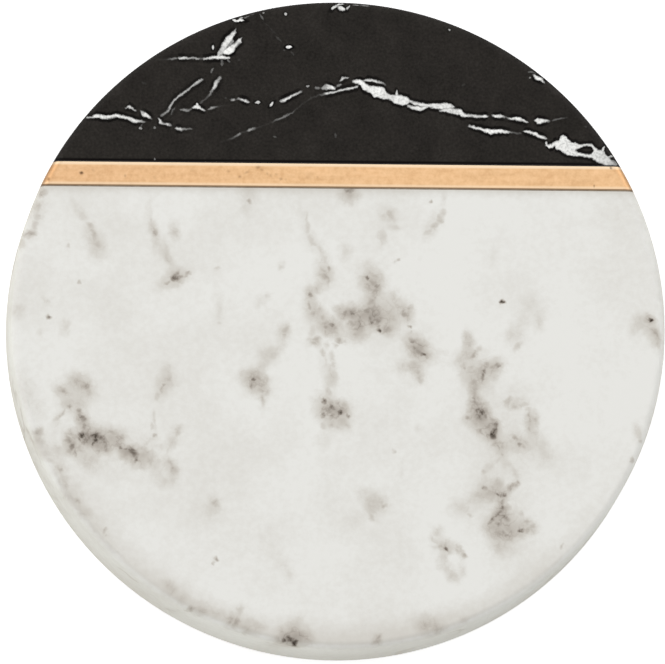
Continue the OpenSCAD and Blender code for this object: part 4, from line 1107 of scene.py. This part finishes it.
def make_camera():
    """The photograph's camera: a long lens, nearly overhead and leaning to the front left."""
    axis = Vector((-math.sin(LEAN_TOWARDS), math.cos(LEAN_TOWARDS), 0))
    turn = Matrix.Rotation(LEAN, 3, axis)
    right, up, back = turn.col[0], turn.col[1], turn.col[2]
    shown_mm = FRAME_PX[0] / PX_PER_MM
    distance = shown_mm * LENS_MM / SENSOR_MM
    right_px = TOP_MIDDLE_PX[0] - (FRAME_PX[0] - 1) / 2
    up_px = (FRAME_PX[1] - 1) / 2 - TOP_MIDDLE_PX[1]
    place = Vector((0, 0, TOP_Z)) + back * distance * MM
    place -= (right * right_px + up * up_px) / PX_PER_MM * MM

    data = bpy.data.cameras.new("camera")
    data.lens = LENS_MM
    data.sensor_width = SENSOR_MM
    data.clip_start, data.clip_end = CAMERA_CLIP_M
    camera = bpy.data.objects.new("camera", data)
    camera.matrix_world = (
        Matrix.Translation(place) @ turn.to_4x4() @ Matrix.Rotation(ROLL, 4, "Z")
    )
    bpy.context.scene.collection.objects.link(camera)
    bpy.context.scene.camera = camera


def add_lamp(name, azimuth, share):
    """A round soft lamp that looks at the coaster. Azimuth 0 is the front, and 90 the right."""
    a, e = math.radians(azimuth), math.radians(LAMP_ELEVATION)
    way = Vector((math.sin(a) * math.cos(e), -math.cos(a) * math.cos(e), math.sin(e)))
    data = bpy.data.lights.new(name, "AREA")
    data.shape = "DISK"
    data.size = LAMP_SIZE
    data.energy = LAMP_W * share
    lamp = bpy.data.objects.new(name, data)
    lamp.location = way * LAMP_DISTANCE
    lamp.rotation_mode = "QUATERNION"
    lamp.rotation_quaternion = way.to_track_quat("Z", "Y")
    bpy.context.scene.collection.objects.link(lamp)


def make_lights():
    """Soft lamps, and a world that is white where it is seen or mirrored."""
    for name, (azimuth, share) in LAMPS.items():
        add_lamp(f"lamp_{name}", azimuth, share)
    world = bpy.data.worlds.new("world")
    world.use_nodes = True
    bpy.context.scene.world = world
    tree = world.node_tree
    light = tree.nodes["Background"]
    light.inputs["Color"].default_value = (1, 1, 1, 1)
    path = tree.nodes.new("ShaderNodeLightPath")
    seen = path.outputs["Is Camera Ray"]
    for name in ("Is Glossy Ray", "Is Transmission Ray"):
        add = tree.nodes.new("ShaderNodeMath")
        add.operation = "ADD"
        add.use_clamp = True
        tree.links.new(seen, add.inputs[0])
        tree.links.new(path.outputs[name], add.inputs[1])
        seen = add.outputs[0]
    mix = tree.nodes.new("ShaderNodeMix")
    mix.data_type = "FLOAT"
    mix.inputs[2].default_value = WORLD_LIGHT
    mix.inputs[3].default_value = 1
    tree.links.new(seen, mix.inputs[0])
    tree.links.new(mix.outputs[0], light.inputs["Strength"])


def make_floor():
    """A plain pale floor, which looks white from overhead and keeps the shadow."""
    mesh = bpy.data.meshes.new("floor")
    corners = ((-1, -1), (1, -1), (1, 1), (-1, 1))
    mesh.from_pydata([(x * FLOOR_REACH_M, y * FLOOR_REACH_M, 0) for x, y in corners], [],
                     [(0, 1, 2, 3)])
    floor = bpy.data.objects.new("floor", mesh)
    bpy.context.scene.collection.objects.link(floor)
    net = Net("floor")
    net.give("Base Color", FLOOR_COLOUR)
    net.give("Roughness", 1)
    net.give("Specular IOR Level", 0)
    net.give("Emission Color", (1, 1, 1, 1))
    seen = net.add("ShaderNodeLightPath").outputs["Is Camera Ray"]
    net.give("Emission Strength", net.math("MULTIPLY", seen, FLOOR_GLOW))
    mesh.materials.append(net.material)


make_camera()
make_lights()
make_floor()
dress_all()
bpy.context.scene.view_settings.view_transform = "Standard"
